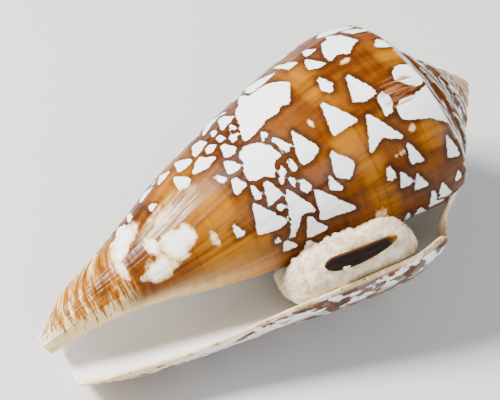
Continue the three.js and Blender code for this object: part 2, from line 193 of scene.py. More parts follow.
PATCHES = [
    [(0.592, 40.5), (0.606, 39.9), (0.625, 38.7), (0.616, 37.9), (0.626, 37.0), (0.621, 35.3), (0.628, 33.6),
     (0.627, 31.9), (0.610, 32.1), (0.580, 33.1), (0.558, 33.5), (0.543, 34.8), (0.518, 35.9), (0.543, 37.5),
     (0.556, 38.9), (0.574, 39.9)],
    [(0.632, 31.4), (0.645, 33.2), (0.665, 33.9), (0.685, 34.2), (0.699, 33.1), (0.712, 32.3), (0.703, 31.2),
     (0.692, 29.5), (0.668, 29.6), (0.655, 30.2), (0.638, 30.4)],
    [(0.549, 48.4), (0.565, 49.4), (0.600, 50.2), (0.609, 48.9), (0.618, 48.0), (0.604, 47.0), (0.610, 45.6),
     (0.595, 45.7), (0.575, 46.3), (0.560, 47.1), (0.561, 48.0)],
    [(0.714, 53.9), (0.790, 53.6), (0.765, 51.5), (0.757, 50.0), (0.750, 48.9), (0.743, 48.1), (0.724, 48.0),
     (0.719, 49.4), (0.724, 51.2)],
    [(0.672, 51.2), (0.682, 53.8), (0.711, 54.0), (0.719, 52.2), (0.706, 51.0), (0.690, 50.0), (0.678, 50.3)],
    [(0.693, 47.7), (0.703, 48.3), (0.727, 47.9), (0.728, 46.7), (0.712, 46.8), (0.700, 46.9)],
]

# Patches with soft edges: middle in turns and height, half width in turns, half height in mm, strength

PALE_PATCHES = [
    (0.572, 14.7, 0.032, 2.0, 1.0),
    (0.600, 13.3, 0.032, 1.1, 1.0),
    (0.655, 12.3, 0.050, 0.6, 0.75),
    (0.705, 18.7, 0.042, 1.7, 1.0),
    (0.700, 20.4, 0.024, 1.0, 1.0),
    (0.735, 16.0, 0.040, 2.0, 0.95),
    (0.665, 16.5, 0.034, 0.6, 0.9),
    (0.622, 19.5, 0.030, 2.6, 0.4),
    (0.875, 41.3, 0.024, 0.8, 0.5),
    (0.748, 22.8, 0.022, 0.5, 0.6),
    (0.673, 39.0, 0.010, 0.3, 0.55),
    (0.786, 46.0, 0.006, 0.7, 0.5),
    (0.625, 47.0, 0.006, 0.7, 0.55),
    (0.760, 48.6, 0.008, 0.7, 0.5),
]
WARM_PATCHES = [
    (0.645, 51.6, 0.034, 1.6, 1.0),
    (0.785, 50.6, 0.030, 1.7, 1.0),
    (0.615, 41.4, 0.055, 1.3, 1.0),
    (0.725, 41.2, 0.026, 2.0, 1.0),
    (0.820, 42.0, 0.045, 1.6, 1.0),
    (0.720, 46.0, 0.010, 1.4, 0.5),
    (0.585, 22.3, 0.050, 3.2, 0.9),
    (0.700, 24.5, 0.050, 2.4, 1.0),
    (0.790, 23.5, 0.070, 4.0, 0.9),
    (0.800, 27.0, 0.030, 2.0, 0.8),
]
DARK_PATCHES = [
    (0.660, 9.4, 0.035, 1.2, 1.0),
    (0.700, 13.5, 0.085, 0.35, 0.9),
    (0.722, 10.5, 0.022, 0.22, 1.0),
    (0.620, 10.6, 0.040, 0.5, 0.8),
    (0.850, 37.0, 0.022, 3.4, 0.9),
    (0.870, 46.5, 0.026, 2.6, 0.7),
    (0.790, 45.3, 0.020, 1.2, 0.6),
    (0.635, 24.8, 0.030, 0.4, 0.6),
    (0.690, 48.6, 0.022, 1.3, 0.6),
]

# Places where growth halted and left a stack of close lines, given as the patches are

SCARS = [
    (0.706, 49.6, 0.022, 2.6, 1.0),
    (0.628, 20.0, 0.036, 4.4, 1.0),
    (0.29, 30.0, 0.012, 20.0, 1.0),
]


def smooth(knots, x):
    """A smooth curve through given points, flat beyond its two ends. Its values may be arrays."""
    knot_x = np.array([k[0] for k in knots], float)
    x = np.clip(np.asarray(x, float), knot_x[0], knot_x[-1])
    knot_y = [np.broadcast_to(np.asarray(k[1], float), x.shape) for k in knots]
    step = np.diff(knot_x)
    slope = [(knot_y[k + 1] - knot_y[k]) / step[k] for k in range(len(step))]
    tangent = [slope[0]]
    for k in range(1, len(step)):
        tangent.append((slope[k - 1] * step[k] + slope[k] * step[k - 1]) / (step[k] + step[k - 1]))
    tangent.append(slope[-1])
    result = np.zeros(x.shape)
    interval = np.clip(np.searchsorted(knot_x, x, side="right") - 1, 0, len(step) - 1)
    for k in range(len(step)):
        u = (x - knot_x[k]) / step[k]
        value = (
            (2 * u**3 - 3 * u**2 + 1) * knot_y[k]
            + (u**3 - 2 * u**2 + u) * step[k] * tangent[k]
            + (-2 * u**3 + 3 * u**2) * knot_y[k + 1]
            + (u**3 - u**2) * step[k] * tangent[k + 1]
        )
        result = np.where(interval == k, value, result)
    return result


def ease(x, low, high):
    """0 below low, 1 above high, and a smooth change between."""
    u = np.clip((x - low) / (high - low), 0, 1)
    return u * u * (3 - 2 * u)


# The coiled sheet: each face gives radius and height about the shell's axis

SUTURE_AT_LIP = float(smooth(LIP_EDGE, 2))
JOIN = 1 + SUTURE_AT_LIP
SHOULDER_SWELL = 0.05
MOST_WALL = 0.4
ROOF_DROP = 1.2


def side_face(turns, row):
    turns, row = np.broadcast_arrays(np.asarray(turns, float), np.asarray(row, float))
    share = smooth([(t, smooth(outline, row)) for t, outline in SIDE_OUTLINES], turns)
    rim = smooth(RIM_HEIGHT, turns)
    top = smooth(SHOULDER_HEIGHT, turns)
    return smooth(SHOULDER_RADIUS, turns) * share, rim + (top - rim) * row


def step_row(turns):
    """The row at the foot of the step."""
    height = smooth(SHOULDER_HEIGHT, turns) - smooth(RIM_HEIGHT, turns)
    return 1 - SUTURE_STEP * smooth(SHOULDER_RADIUS, turns) / height


def outer_face(turns, row):
    radius, height = side_face(turns, np.minimum(row, 1))
    inner_radius, inner_height = side_face(turns + 1, step_row(turns + 1))
    w = np.clip(row - 1, 0, 1)
    swell = SHOULDER_SWELL * (radius - inner_radius) * np.sin(2 * np.pi * w)
    return radius + (inner_radius - radius) * w, height + (inner_height - height) * w + swell


def wall_thickness(turns, row):
    from_edge = ease(turns - smooth(LIP_EDGE, row), 0, WALL_GROWS_OVER)
    grown = LIP_THICKNESS + (smooth(WALL_THICKNESS, turns) - LIP_THICKNESS) * from_edge
    side = np.minimum(row, 1)
    gap = side_face(turns, side)[0] - side_face(turns + 1, side)[0]
    return np.minimum(grown, MOST_WALL * gap)


def inner_face(turns, row):
    side = np.minimum(row, 1)
    thick = wall_thickness(turns, row)
    radius, height = side_face(turns, side)
    radius = radius - thick
    height = height - ROOF_DROP * thick * side**3
    floor_radius, floor_height = side_face(turns + 1, ROOF_JOINS_AT)
    w = np.clip(row - 1, 0, 1)
    return radius + (floor_radius - radius) * w, height + (floor_height - height) * w


def place(turns, face):
    radius, height = face
    angle = 2 * np.pi * turns
    return np.stack([radius * np.cos(angle) + smooth(AXIS_LEAN, height), radius * np.sin(angle), height], -1)


def on_axis(height):
    """One point on the shell's axis."""
    return place(np.zeros(1), (np.zeros(1), np.full(1, float(height))))


# From the shell's own axis to the frame


def lie_down():
    """The turn and shift that lay the shell down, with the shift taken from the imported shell's apex."""
    tilt, spin = REST_TILT, REST_SPIN
    axis = np.array([math.cos(tilt), 0, math.sin(tilt)])
    below = np.array([math.sin(tilt), 0, -math.cos(tilt)])
    behind = np.array([0.0, 1.0, 0.0])
    lip_side = below * math.cos(spin) - behind * math.sin(spin)
    back_side = below * math.sin(spin) + behind * math.cos(spin)
    turn = np.stack([lip_side, back_side, axis], 1)
    corners = np.array([v.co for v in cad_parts["shell"].data.vertices]) / MM
    apex = corners[np.argmax(corners @ axis)]
    return turn, apex - turn @ on_axis(SHELL_LENGTH)[0]


TURN, SHIFT = lie_down()


def to_frame(points):
    """Points about the shell's axis, in mm, as frame points in metres."""
    return (np.asarray(points) @ TURN.T + SHIFT) * MM


# Meshes from grids of points


def add_to_scene(name, data):
    made = bpy.data.objects.new(name, data)
    bpy.context.scene.collection.objects.link(made)
    return made


class Skin:
    """An indexed mesh filled grid by grid, with one value per point for each named attribute.

    The shell's underside is worn flat where it rests, so no point is built below the floor.
    """

    def __init__(self, names=()):
        self.points = []
        self.values = {name: [] for name in names}
        self.faces = []
        self.count = 0

    def add(self, points, **values):
        points = np.asarray(points, float)
        shape = points.shape[:-1]
        number = int(np.prod(shape))
        self.points.append(points.reshape(-1, 3))
        for name, held in self.values.items():
            held.append(np.broadcast_to(values.get(name, 0.0), shape).reshape(-1).astype(float))
        index = np.arange(self.count, self.count + number).reshape(shape)
        self.count += number
        return index

    def sheet(self, rows):
        """Faces between rows of point numbers; out is where columns run right and rows run up."""
        low_left, low_right = rows[:-1, :-1], rows[:-1, 1:]
        top_left, top_right = rows[1:, :-1], rows[1:, 1:]
        quads = np.stack([low_left, low_right, top_right, top_left], -1).reshape(-1, 4)
        for quad in quads.tolist():
            face = [p for k, p in enumerate(quad) if p != quad[k - 1]]
            if len(set(face)) == len(face) and len(face) > 2:
                self.faces.append(face)

    def closed(self, rings, low_end, high_end):
        """Faces over rings of point numbers, and from the first and last ring to a point at each end."""
        size = rings.shape[1]
        rows = [np.full(size, low_end), *rings, np.full(size, high_end)]
        self.sheet(np.array([[*row, row[0]] for row in rows]))

    def face(self, *corners):
        self.faces.append([int(c) for c in corners])

    def build(self, name, material):
        mesh = bpy.data.meshes.new(name)
        points = to_frame(np.concatenate(self.points))
        points[:, 2] = np.maximum(points[:, 2], 0.0)
        mesh.from_pydata(points.tolist(), [], self.faces)
        for key, held in self.values.items():
            attribute = mesh.attributes.new(key, "FLOAT", "POINT")
            attribute.data.foreach_set("value", np.concatenate(held).astype(np.float32))
        mesh.polygons.foreach_set("use_smooth", [True] * len(mesh.polygons))
        mesh.materials.append(material)
        mesh.update()
        return add_to_scene(name, mesh)


# The shell's markings, as distances that its material reads

TENT_ROUNDING = 0.22
TENT_GAP = 0.46
FARTHEST = 3.0
TINY = 1e-9


def outline_distance(x, y, corners):
    """Signed distance from points to a closed outline, below 0 inside."""
    best = np.full(x.shape, np.inf)
    inside = np.zeros(x.shape, bool)
    for k, (x1, y1) in enumerate(corners):
        x0, y0 = corners[k - 1]
        ex, ey = x1 - x0, y1 - y0
        along = np.clip(((x - x0) * ex + (y - y0) * ey) / (ex * ex + ey * ey + TINY), 0, 1)
        best = np.minimum(best, np.hypot(x - x0 - along * ex, y - y0 - along * ey))
        crossing = x0 + (y - y0) * ex / (ey if abs(ey) > TINY else TINY)
        inside ^= ((y0 <= y) != (y1 <= y)) & (x < crossing)
    return np.where(inside, -best, best)


# Tents for the stretch of whorl that the photograph doesn't show

SEED = 41
SEED_TRIES = 1500
SEED_TURNS = (-0.1, 0.53)
SEED_ROWS = (0.27, 1.0)
SMALL_TENT = (0.7, 1.5)
LARGE_TENT = (1.5, 4.2)
CROWDED_ROW = 0.62
CROWDED_SPREAD = 0.1
BARE_ROWS = [(0.8, 0.035), (0.47, 0.04)]
BARE_SHARE = 0.8
TENT_HALF_WIDTH = 0.62
TENT_ROOM = 0.2
TENT_LENGTH = (0.9, 1.35)
TENT_SLANT = 0.3
TENT_BASE = (0.3, 0.6)
TENT_NOTCH = (-0.35, 0.25)


def seeded_tents():
    """Tents drawn at random, crowded in one row, rare in the amber bands and kept off one another."""
    random = np.random.default_rng(SEED)
    placed = []
    made = []
    for _ in range(SEED_TRIES):
        turns = random.uniform(*SEED_TURNS)
        row = random.uniform(*SEED_ROWS)
        crowded = math.exp(-(((row - CROWDED_ROW) / CROWDED_SPREAD) ** 2))
        small = random.random() < 0.35 + 0.5 * crowded
        size = random.uniform(*(SMALL_TENT if small else LARGE_TENT)) * (0.55 + 0.6 * row)
        radius, height = (float(v) for v in side_face(turns, row))
        if any(abs(row - band) < half for band, half in BARE_ROWS) and random.random() < BARE_SHARE:
            continue
        round_mm = 2 * math.pi * radius
        at = (turns * round_mm, height)
        room = [math.hypot(at[0] - x, at[1] - y) - TENT_HALF_WIDTH * (size + s) for x, y, s in placed]
        if placed and min(room) < TENT_ROOM:
            continue
        placed.append((*at, size))
        length = size * random.uniform(*TENT_LENGTH) / round_mm
        lift = random.uniform(-TENT_SLANT, TENT_SLANT) * size
        tip = (turns - 0.6 * length, height - lift)
        upper = (turns + random.uniform(*TENT_BASE) * length, height + TENT_HALF_WIDTH * size)
        lower = (turns + random.uniform(*TENT_BASE) * length, height - TENT_HALF_WIDTH * size)
        made.append((tip, upper, lower, random.uniform(*TENT_NOTCH)))
    return made


def flat_outline(outline):
    """An outline's first point, the whorl's length round there, and its corners in mm.

    The corners are drawn in, because tent_field rounds each outline outward again.
    """
    origin = outline[0]
    middle = np.mean(np.array(outline), axis=0)
    top = float(smooth(SHOULDER_HEIGHT, origin[0]))
    radius = float(side_face(middle[0], min(max(middle[1] / top, 0), 1))[0])
    round_mm = 2 * math.pi * radius
    corners = np.array([((t - origin[0]) * round_mm, h - origin[1]) for t, h in outline])
    inward = corners.mean(axis=0) - corners
    reach = np.linalg.norm(inward, axis=1, keepdims=True) + TINY
    corners = corners + inward / reach * np.minimum(1.15 * TENT_ROUNDING, 0.4 * reach)
    return origin, round_mm, corners.tolist()


def flat_tents():
    """Every tent and patch, ready for tent_field."""
    made = [flat_outline(outline) for outline in PATCHES]
    for tip, upper, lower, notch in TENTS + seeded_tents():
        middle = (np.array(upper) + np.array(lower)) / 2
        dent = middle + notch * (np.array(tip) - middle)
        made.append(flat_outline([tip, upper, tuple(dent), lower]))
    return made


FLAT_TENTS = flat_tents()


def tent_field(turns, height):
    """How far each point of the whorl's side is from the nearest white tent, in mm, below 0 inside.

    Where two tents meet, the value stays above 0 along the line between them.
    """
    nearest = np.full(turns.shape, FARTHEST)
    second = np.full(turns.shape, FARTHEST)
    for origin, round_mm, corners in FLAT_TENTS:
        x = (turns - origin[0]) * round_mm
        y = height - origin[1]
        reach_x = max(abs(c[0]) for c in corners) + FARTHEST
        reach_y = max(abs(c[1]) for c in corners) + FARTHEST
        near = (np.abs(x) < reach_x) & (np.abs(y) < reach_y)
        if not near.any():
            continue
        distance = outline_distance(x[near], y[near], corners) - TENT_ROUNDING
        second[near] = np.minimum(second[near], np.maximum(nearest[near], distance))
        nearest[near] = np.minimum(nearest[near], distance)
    return np.minimum(np.maximum(nearest, TENT_GAP - (second - nearest)), FARTHEST)


def patch_field(turns, height, patches):
    """A soft 0 to 1 field with a hump at each patch."""
    field = np.zeros(turns.shape)
    for at, up, wide, tall, strength in patches:
        spread = ((turns - at) / wide) ** 2 + ((height - up) / tall) ** 2
        field = np.maximum(field, strength * np.exp(-(spread**1.5)))
    return field


# Relief of the outer face: growth lines across the whorl, and spiral cords near the front

CORD_PITCH = 1.25
CORD_HEIGHT = 0.05
CORDS_END = (13.0, 19.0)
CORD_DIP = 3.0
CORD_DIP_FROM = 0.5
CORD_DIP_FADE = 0.07
GROWTH_MM_PER_TURN = 80.0
GROWTH_WAVES = [(1.3, 0.012), (2.1, 0.014), (3.7, 0.018), (7.9, 0.03), (17.0, 0.05)]
SCAR_PITCH = 0.62
SCAR_HEIGHT = 0.012
RELIEF_STARTS = (0.0, 0.02)
RELIEF_ENDS = (0.97, 1.05)


def cord_height(turns, height):
    """Height measured along the cords, which dip where the whorl narrows past the shell's left side."""
    return height - CORD_DIP * np.exp(-np.maximum(turns - CORD_DIP_FROM, 0) / CORD_DIP_FADE)


def growth(turns, row):
    """How far back along the whorl a point grew, in mm, counted from the lip's edge on its row."""
    return (turns - smooth(LIP_EDGE, row)) * GROWTH_MM_PER_TURN


def relief(turns, row, height):
    """How far the outer face stands out, in mm."""
    back = growth(turns, row)
    lift = np.zeros(turns.shape)
    for pitch, size in GROWTH_WAVES:
        lift += size * np.sin(2 * np.pi * back / pitch + 1.7 * pitch + 0.4 * np.sin(0.23 * height + pitch))
    cords = 1 - ease(cord_height(turns, height), *CORDS_END)
    lift += CORD_HEIGHT * cords * np.sin(2 * np.pi * cord_height(turns, height) / CORD_PITCH)
    scars = patch_field(turns, height, SCARS)
    lift += SCAR_HEIGHT * scars * np.sin(2 * np.pi * back / SCAR_PITCH)
    return lift


def marked_points(turns, row):
    """Points of the outer face with their relief, and every value that the material reads there."""
    turns, row = np.broadcast_arrays(np.asarray(turns, float), np.asarray(row, float))
    radius, height = outer_face(turns, row)
    on_side = 1 - ease(row, 1.0, 1.1)
    fade = ease(turns - smooth(LIP_EDGE, row), *RELIEF_STARTS) * (1 - ease(turns, *RELIEF_ENDS))
    lift = relief(turns, row, height) * fade
    points = place(turns, (radius + lift * on_side, height + 0.5 * lift * (1 - on_side)))
    values = {
        "turns": turns,
        "height": height,
        "row": row,
        "back": growth(turns, row),
        "cord": cord_height(turns, height),
        "tent": np.where(row > 1.0, FARTHEST, tent_field(turns, height)),
        "pale": patch_field(turns, height, PALE_PATCHES),
        "warm": patch_field(turns, height, WARM_PATCHES),
        "dark": patch_field(turns, height, DARK_PATCHES),
        "scar": patch_field(turns, height, SCARS),
    }
    return points, values


SHELL_VALUES = [
    "turns", "height", "row", "back", "cord", "tent", "pale", "warm", "dark", "scar", "inside", "seam",
]
GLAZE_STARTS = (0.9, 1.06)
LIP_BULGE = 0.42
COLUMN_FRONT = 0.45


def line_rows(line, turns):
    """A line's row at each of its points. The lines of the step follow it."""
    foot = step_row(turns)
    if line == STEP:
        return foot
    if line in STEP_SHARES:
        return foot + (1 - foot) * line
    return np.full(turns.shape, float(line))


def add_spire(skin):
    """From the step, over the shoulder and across the top, one turn back to the apex."""
    turns = JOIN + np.arange((SPIRE_TURNS - 1) * COLUMNS_PER_TURN + 1) / COLUMNS_PER_TURN
    spire = []
    for line in SHOULDER_LINES:
        points, values = marked_points(turns, line_rows(line, turns))
        spire.append(skin.add(points, seam=1.0 if line == STEP else 0.0, **values))
    values = marked_points(np.array([float(SPIRE_TURNS)]), np.array([1.5]))[1]
    apex = skin.add(on_axis(SHELL_LENGTH), **values)[0]
    for index in spire:
        index[-1] = apex
    foot = spire[0]
    suture = np.full(foot.shape, apex)
    suture[: len(foot) - COLUMNS_PER_TURN] = foot[COLUMNS_PER_TURN:]
    skin.sheet(np.stack([*spire, suture]))
    return spire


def add_body(skin, spire):
    """The body whorl, from the front rim to the suture and from the lip's edge to one turn back."""
    body = []
    for line in [*SIDE_ROWS, *UPPER_ROWS, *SHOULDER_LINES]:
        edge = float(smooth(LIP_EDGE, STEP_EDGE_ROW if line in (STEP, *STEP_SHARES) else line))
        turns = edge + (JOIN - edge) * np.arange(COLUMNS_PER_TURN + 1) / COLUMNS_PER_TURN
        points, values = marked_points(turns, line_rows(line, turns))
        body.append(skin.add(points, **values))
    for index, spire_index in zip(body[-len(spire):], spire):
        index[-1] = spire_index[0]
    body.append(spire[0][: COLUMNS_PER_TURN + 1])
    skin.sheet(np.stack(body))
    return body


def add_floor(skin, body):
    """Floor of the hollow: the side of the whorl inside, carried on past the lip."""
    floor = []
    for outer, row in zip(body, SIDE_ROWS):
        end = float(smooth(HOLLOW_END, row))
        turns = JOIN + (end - SUTURE_AT_LIP) * np.arange(HOLLOW_COLUMNS + 1) / HOLLOW_COLUMNS
        points, values = marked_points(turns, np.full(turns.shape, row))
        index = skin.add(points, inside=ease(turns, *GLAZE_STARTS), **values)
        index[0] = outer[-1]
        floor.append(index)
    skin.sheet(np.stack(floor))
    return floor


def add_roof(skin, floor):
    """Roof of the hollow: the inner face, from the lip's edge to the hollow's end."""
    roof = []
    for row in [*SIDE_ROWS, *UPPER_ROWS, *ROOF_CORNER_ROWS, *TOP_ROWS]:
        edge = float(smooth(LIP_EDGE, row))
        end = float(smooth(HOLLOW_END, row))
        turns = edge + (end - edge) * np.arange(HOLLOW_COLUMNS + 1) / HOLLOW_COLUMNS
        rows = np.full(turns.shape, float(row))
        radius, height = inner_face(turns, rows)
        values = {"turns": turns, "height": height, "row": rows, "back": growth(turns, rows)}
        roof.append(skin.add(place(turns, (radius, height)), inside=1.0, tent=FARTHEST, **values))
    roof.append(floor[-1])
    skin.sheet(np.stack([index[::-1] for index in roof]))
    return roof


def add_lip_edge(skin, body, roof):
    """The rounded edge between the lip's two faces."""
    points = np.concatenate(skin.points)
    first_shoulder = len(SIDE_ROWS) + LIP_ROUND
    edge_rows = []
    for k, (inner, outer) in enumerate(zip(roof[:-1], body)):
        start, end = points[inner[0]], points[outer[0]]
        back = points[outer[1]] - points[outer[0]]
        back = back / (np.linalg.norm(back) + TINY)
        thick = np.linalg.norm(end - start)
        values = {"row": min(k / first_shoulder, 1.0), "tent": FARTHEST}
        between = []
        for j in range(LIP_ROUND):
            w = (j + 1) / (LIP_ROUND + 1)
            at = start + (end - start) * w - back * LIP_BULGE * thick * math.sin(math.pi * w)
            between.append(skin.add(at[None], inside=1 - w, height=at[2], **values)[0])
        edge_rows.append([inner[0], *between, outer[0]])
    upper = [body[len(SIDE_ROWS) + j][-1] for j in range(LIP_ROUND)]
    edge_rows.append([roof[-1][0], *upper, body[-1][0]])
    skin.sheet(np.array(edge_rows))
    return edge_rows


def make_shell(material):
    skin = Skin(SHELL_VALUES)
    spire = add_spire(skin)
    body = add_body(skin, spire)
    floor = add_floor(skin, body)
    roof = add_roof(skin, floor)
    edge_rows = add_lip_edge(skin, body, roof)
    hollow_end = [index[-1] for index in floor]
    hollow_end += [floor[-1][-1]] * (len(roof) - len(floor))
    skin.sheet(np.array([[low, index[-1]] for low, index in zip(hollow_end, roof)]))
    close_front(skin, [*body[0], *floor[0][1:]], roof[0], edge_rows[0][1:-1])
    return skin.build("shell_skin", material)


def close_front(skin, outer_rim, inner_rim, lip_round):
    """The front rim: a strip between the two faces where the mouth is open, then a fan over the column."""
    deep = HOLLOW_COLUMNS
    edge_at = float(smooth(LIP_EDGE, 0))
    open_turns = float(smooth(HOLLOW_END, 0)) - edge_at
    meet = round(open_turns / (JOIN - edge_at) * COLUMNS_PER_TURN)
    chain = [*lip_round, outer_rim[0]]
    for a, b in zip(chain, chain[1:]):
        skin.face(inner_rim[0], b, a)
    i = j = 0
    while i < meet or j < deep:
        if j == deep or (i < meet and (i + 1) / meet <= (j + 1) / deep):
            skin.face(inner_rim[j], outer_rim[i + 1], outer_rim[i])
            i += 1
        else:
            skin.face(inner_rim[j], inner_rim[j + 1], outer_rim[i])
            j += 1
    last = len(outer_rim) - 1
    centre = skin.add(on_axis(COLUMN_FRONT), tent=FARTHEST)[0]
    skin.face(inner_rim[deep], outer_rim[meet + 1], outer_rim[meet])
    skin.face(outer_rim[last], outer_rim[meet + 1], inner_rim[deep])
    skin.face(centre, outer_rim[meet + 1], outer_rim[last])
    for k in range(meet + 1, last):
        skin.face(centre, outer_rim[k + 1], outer_rim[k])


# Materials


class Graph:
    """Short calls that add nodes to one material."""

    def __init__(self, name):
        self.material = bpy.data.materials.new(name)
        self.material.use_nodes = True
        self.tree = self.material.node_tree
        self.shader = self.tree.nodes["Principled BSDF"]

    def node(self, kind, inputs=(), **settings):
        made = self.tree.nodes.new(kind)
        for key, value in settings.items():
            setattr(made, key, value)
        for key, value in dict(inputs).items():
            self.feed(made.inputs[key], value)
        return made

    def feed(self, socket, value):
        if isinstance(value, bpy.types.NodeSocket):
            self.tree.links.new(value, socket)
        else:
            socket.default_value = value

    def set(self, name, value):
        self.feed(self.shader.inputs[name], value)

    def value(self, name):
        return self.node("ShaderNodeAttribute", attribute_name=name).outputs["Fac"]

    def math(self, operation, a, b=0.0):
        return self.node("ShaderNodeMath", {0: a, 1: b}, operation=operation).outputs[0]

    def plus(self, first, *others):
        for other in others:
            first = self.math("ADD", first, other)
        return first

    def times(self, a, b):
        return self.math("MULTIPLY", a, b)

    def centred(self, value, spread):
        """A value from 0 to 1, moved to lie about 0 and scaled."""
        return self.times(self.math("SUBTRACT", value, 0.5), spread)

    def ease(self, value, low, high, at_low=0.0, at_high=1.0):
        """A smooth change from at_low to at_high while the value goes from low to high."""
        inputs = {"Value": value, "From Min": low, "From Max": high, "To Min": at_low, "To Max": at_high}
        return self.node("ShaderNodeMapRange", inputs, interpolation_type="SMOOTHSTEP").outputs[0]

    def mix(self, share, a, b):
        return self.node("ShaderNodeMix", {0: share, 6: a, 7: b}, data_type="RGBA").outputs[2]

    def noise(self, vector, scale=1.0, detail=3.0, rough=0.5, twist=0.0):
        inputs = {"Vector": vector, "Scale": scale, "Detail": detail, "Roughness": rough, "Distortion": twist}
        return self.node("ShaderNodeTexNoise", inputs).outputs[0]

    def drawn_out(self, a, a_pace, b, b_pace, detail=3.0, rough=0.6, twist=0.0):
        """Noise over two values of the surface, each at its own pace, so that it is longer one way."""
        where = self.node("ShaderNodeCombineXYZ", {0: self.times(a, a_pace), 1: self.times(b, b_pace)})
        return self.noise(where.outputs[0], 1.0, detail, rough, twist)

    def object_mm(self):
        """The piece's own coordinates in millimetres."""
        coordinates = self.node("ShaderNodeTexCoord").outputs["Object"]
        inputs = {0: coordinates, 1: (1000.0, 1000.0, 1000.0)}
        return self.node("ShaderNodeVectorMath", inputs, operation="MULTIPLY").outputs[0]

    def bump(self, height, distance, strength):
        inputs = {"Height": height, "Distance": distance, "Strength": strength}
        return self.node("ShaderNodeBump", inputs).outputs[0]


ORANGE = (0.175, 0.048, 0.0002, 1.0)
BROWN = (0.076, 0.0165, 0.0002, 1.0)
UMBER = (0.024, 0.005, 0.0003, 1.0)
AMBER = (0.31, 0.109, 0.0002, 1.0)
PLUM = (0.04, 0.011, 0.006, 1.0)
CREAM = (0.82, 0.60, 0.29, 1.0)
TAN = (0.52, 0.27, 0.065, 1.0)
ROSE = (0.42, 0.17, 0.09, 1.0)
WHITE = (0.93, 0.925, 0.91, 1.0)
PORCELAIN = (0.9, 0.87, 0.81, 1.0)

# Where the shell's colours change, as rows, turns, or millimetres of height or growth

UPPER_BAND = 0.795
LOWER_BAND = 0.44
FRONT_TIP = (-1.0, 2.5)
FRONT_FADES = (9.0, 14.0)
MOUTH_SIDE_STARTS = (0.79, 0.90)
MOUTH_SIDE_ENDS = (24.0, 30.5)
SCARS_DARKEN = (28.0, 34.0)
LIP_STRIP_ENDS = (2.4, 6.0)
SHOULDER_TURNS = (0.992, 1.01)
APEX_STARTS = (58.5, 61.0)


def shell_values(g):
    """The values and noises that several layers of the shell's colour share."""
    s = SimpleNamespace(**{name: g.value(name) for name in SHELL_VALUES})
    s.here = g.object_mm()
    s.streaks = g.drawn_out(s.back, 0.75, s.height, 0.06, 4.0, 0.65)
    s.threads = g.drawn_out(s.back, 0.05, s.height, 1.6)
    s.clouds = g.noise(s.here, 0.13, 3.0, 0.55)
    s.specks = g.noise(s.here, 0.8, 4.0, 0.6)

    # Distance from a tent's edge, made uneven and a little jagged
    wobble = g.centred(g.noise(s.here, 1.5, 3.0, 0.6), 0.32)
    teeth = g.centred(g.drawn_out(s.back, 1.3, s.height, 3.4, 3.0, 0.65), 0.42)
    s.edge = g.plus(s.tent, wobble, teeth)

    # Broken spiral cords of the front end, scarcer past the middle and at the tip
    s.front = g.plus(s.cord, g.centred(s.clouds, 8.0))
    cords = g.plus(g.drawn_out(s.back, 0.07, s.cord, 1.8, 5.0, 0.75), g.times(s.dark, 0.16))
    cords = g.plus(cords, g.ease(s.turns, 0.70, 0.80, 0.055, -0.07))
    s.cords = g.math("SUBTRACT", cords, g.ease(s.front, 0.5, 7.0, 0.085, 0.0))
    return s


def ground_colour(g, s):
    """Orange-brown with growth streaks, amber bands and dark borders to the tents."""
    shade = g.plus(g.times(s.streaks, 0.45), g.times(s.clouds, 0.35), g.times(s.threads, 0.2))
    shade = g.math("SUBTRACT", shade, g.times(s.dark, 0.1))
    ground = g.mix(g.ease(shade, 0.38, 0.60), BROWN, ORANGE)
    placed = g.plus(s.row, g.centred(s.clouds, 0.06))
    from_upper = g.math("ABSOLUTE", g.math("SUBTRACT", placed, UPPER_BAND))
    from_lower = g.math("ABSOLUTE", g.math("SUBTRACT", placed, LOWER_BAND))
    bands = g.math("MAXIMUM", g.ease(from_upper, 0.01, 0.04, 0.7, 0.0), g.ease(s.warm, 0.1, 0.85))
    bands = g.math("MAXIMUM", bands, g.ease(from_lower, 0.03, 0.11, 0.6, 0.0))
    bands = g.times(bands, g.ease(s.streaks, 0.3, 0.58, 0.25, 1.0))
    bands = g.times(bands, g.ease(s.threads, 0.3, 0.5, 0.55, 1.0))
    ground = g.mix(bands, ground, AMBER)
    border = g.times(g.ease(s.edge, 0.1, 0.9, 0.75, 0.0), g.ease(bands, 0.0, 1.0, 1.0, 0.35))
    return g.mix(border, ground, UMBER)


def add_front_end(g, s, colour):
    """Cream with brown cords, a pale tip, and a worn tan rim beside the mouth."""
    brown = g.mix(g.ease(s.cords, 0.52, 0.7), AMBER, g.mix(0.5, ORANGE, BROWN))
    corded = g.mix(g.ease(s.cords, 0.43, 0.53), CREAM, brown)
    colour = g.mix(g.ease(s.front, *FRONT_FADES, 1.0, 0.0), colour, corded)
    colour = g.mix(g.ease(s.front, *FRONT_TIP, 0.85, 0.0), colour, PORCELAIN)
    rim = g.times(g.ease(s.turns, *MOUTH_SIDE_STARTS), g.ease(s.height, *MOUTH_SIDE_ENDS, 1.0, 0.0))
    rim = g.times(rim, g.ease(s.specks, 0.3, 0.6, 0.7, 1.0))
    return g.mix(g.times(rim, 0.85), colour, g.mix(g.ease(s.height, 14.0, 26.0), CREAM, TAN))


def add_tents(g, s, colour):
    """Soft pale patches, then the white tents."""
    torn = g.plus(g.times(s.specks, 0.5), g.times(s.cords, 0.25), g.times(s.streaks, 0.25))
    pale = g.plus(s.pale, g.centred(torn, g.ease(s.pale, 0.0, 0.25, 0.0, 2.6)))
    colour = g.mix(g.ease(pale, 0.18, 0.6), colour, CREAM)
    colour = g.mix(g.ease(pale, 0.5, 0.95), colour, WHITE)
    return g.mix(g.ease(s.edge, -0.06, 0.06, 1.0, 0.0), colour, WHITE)


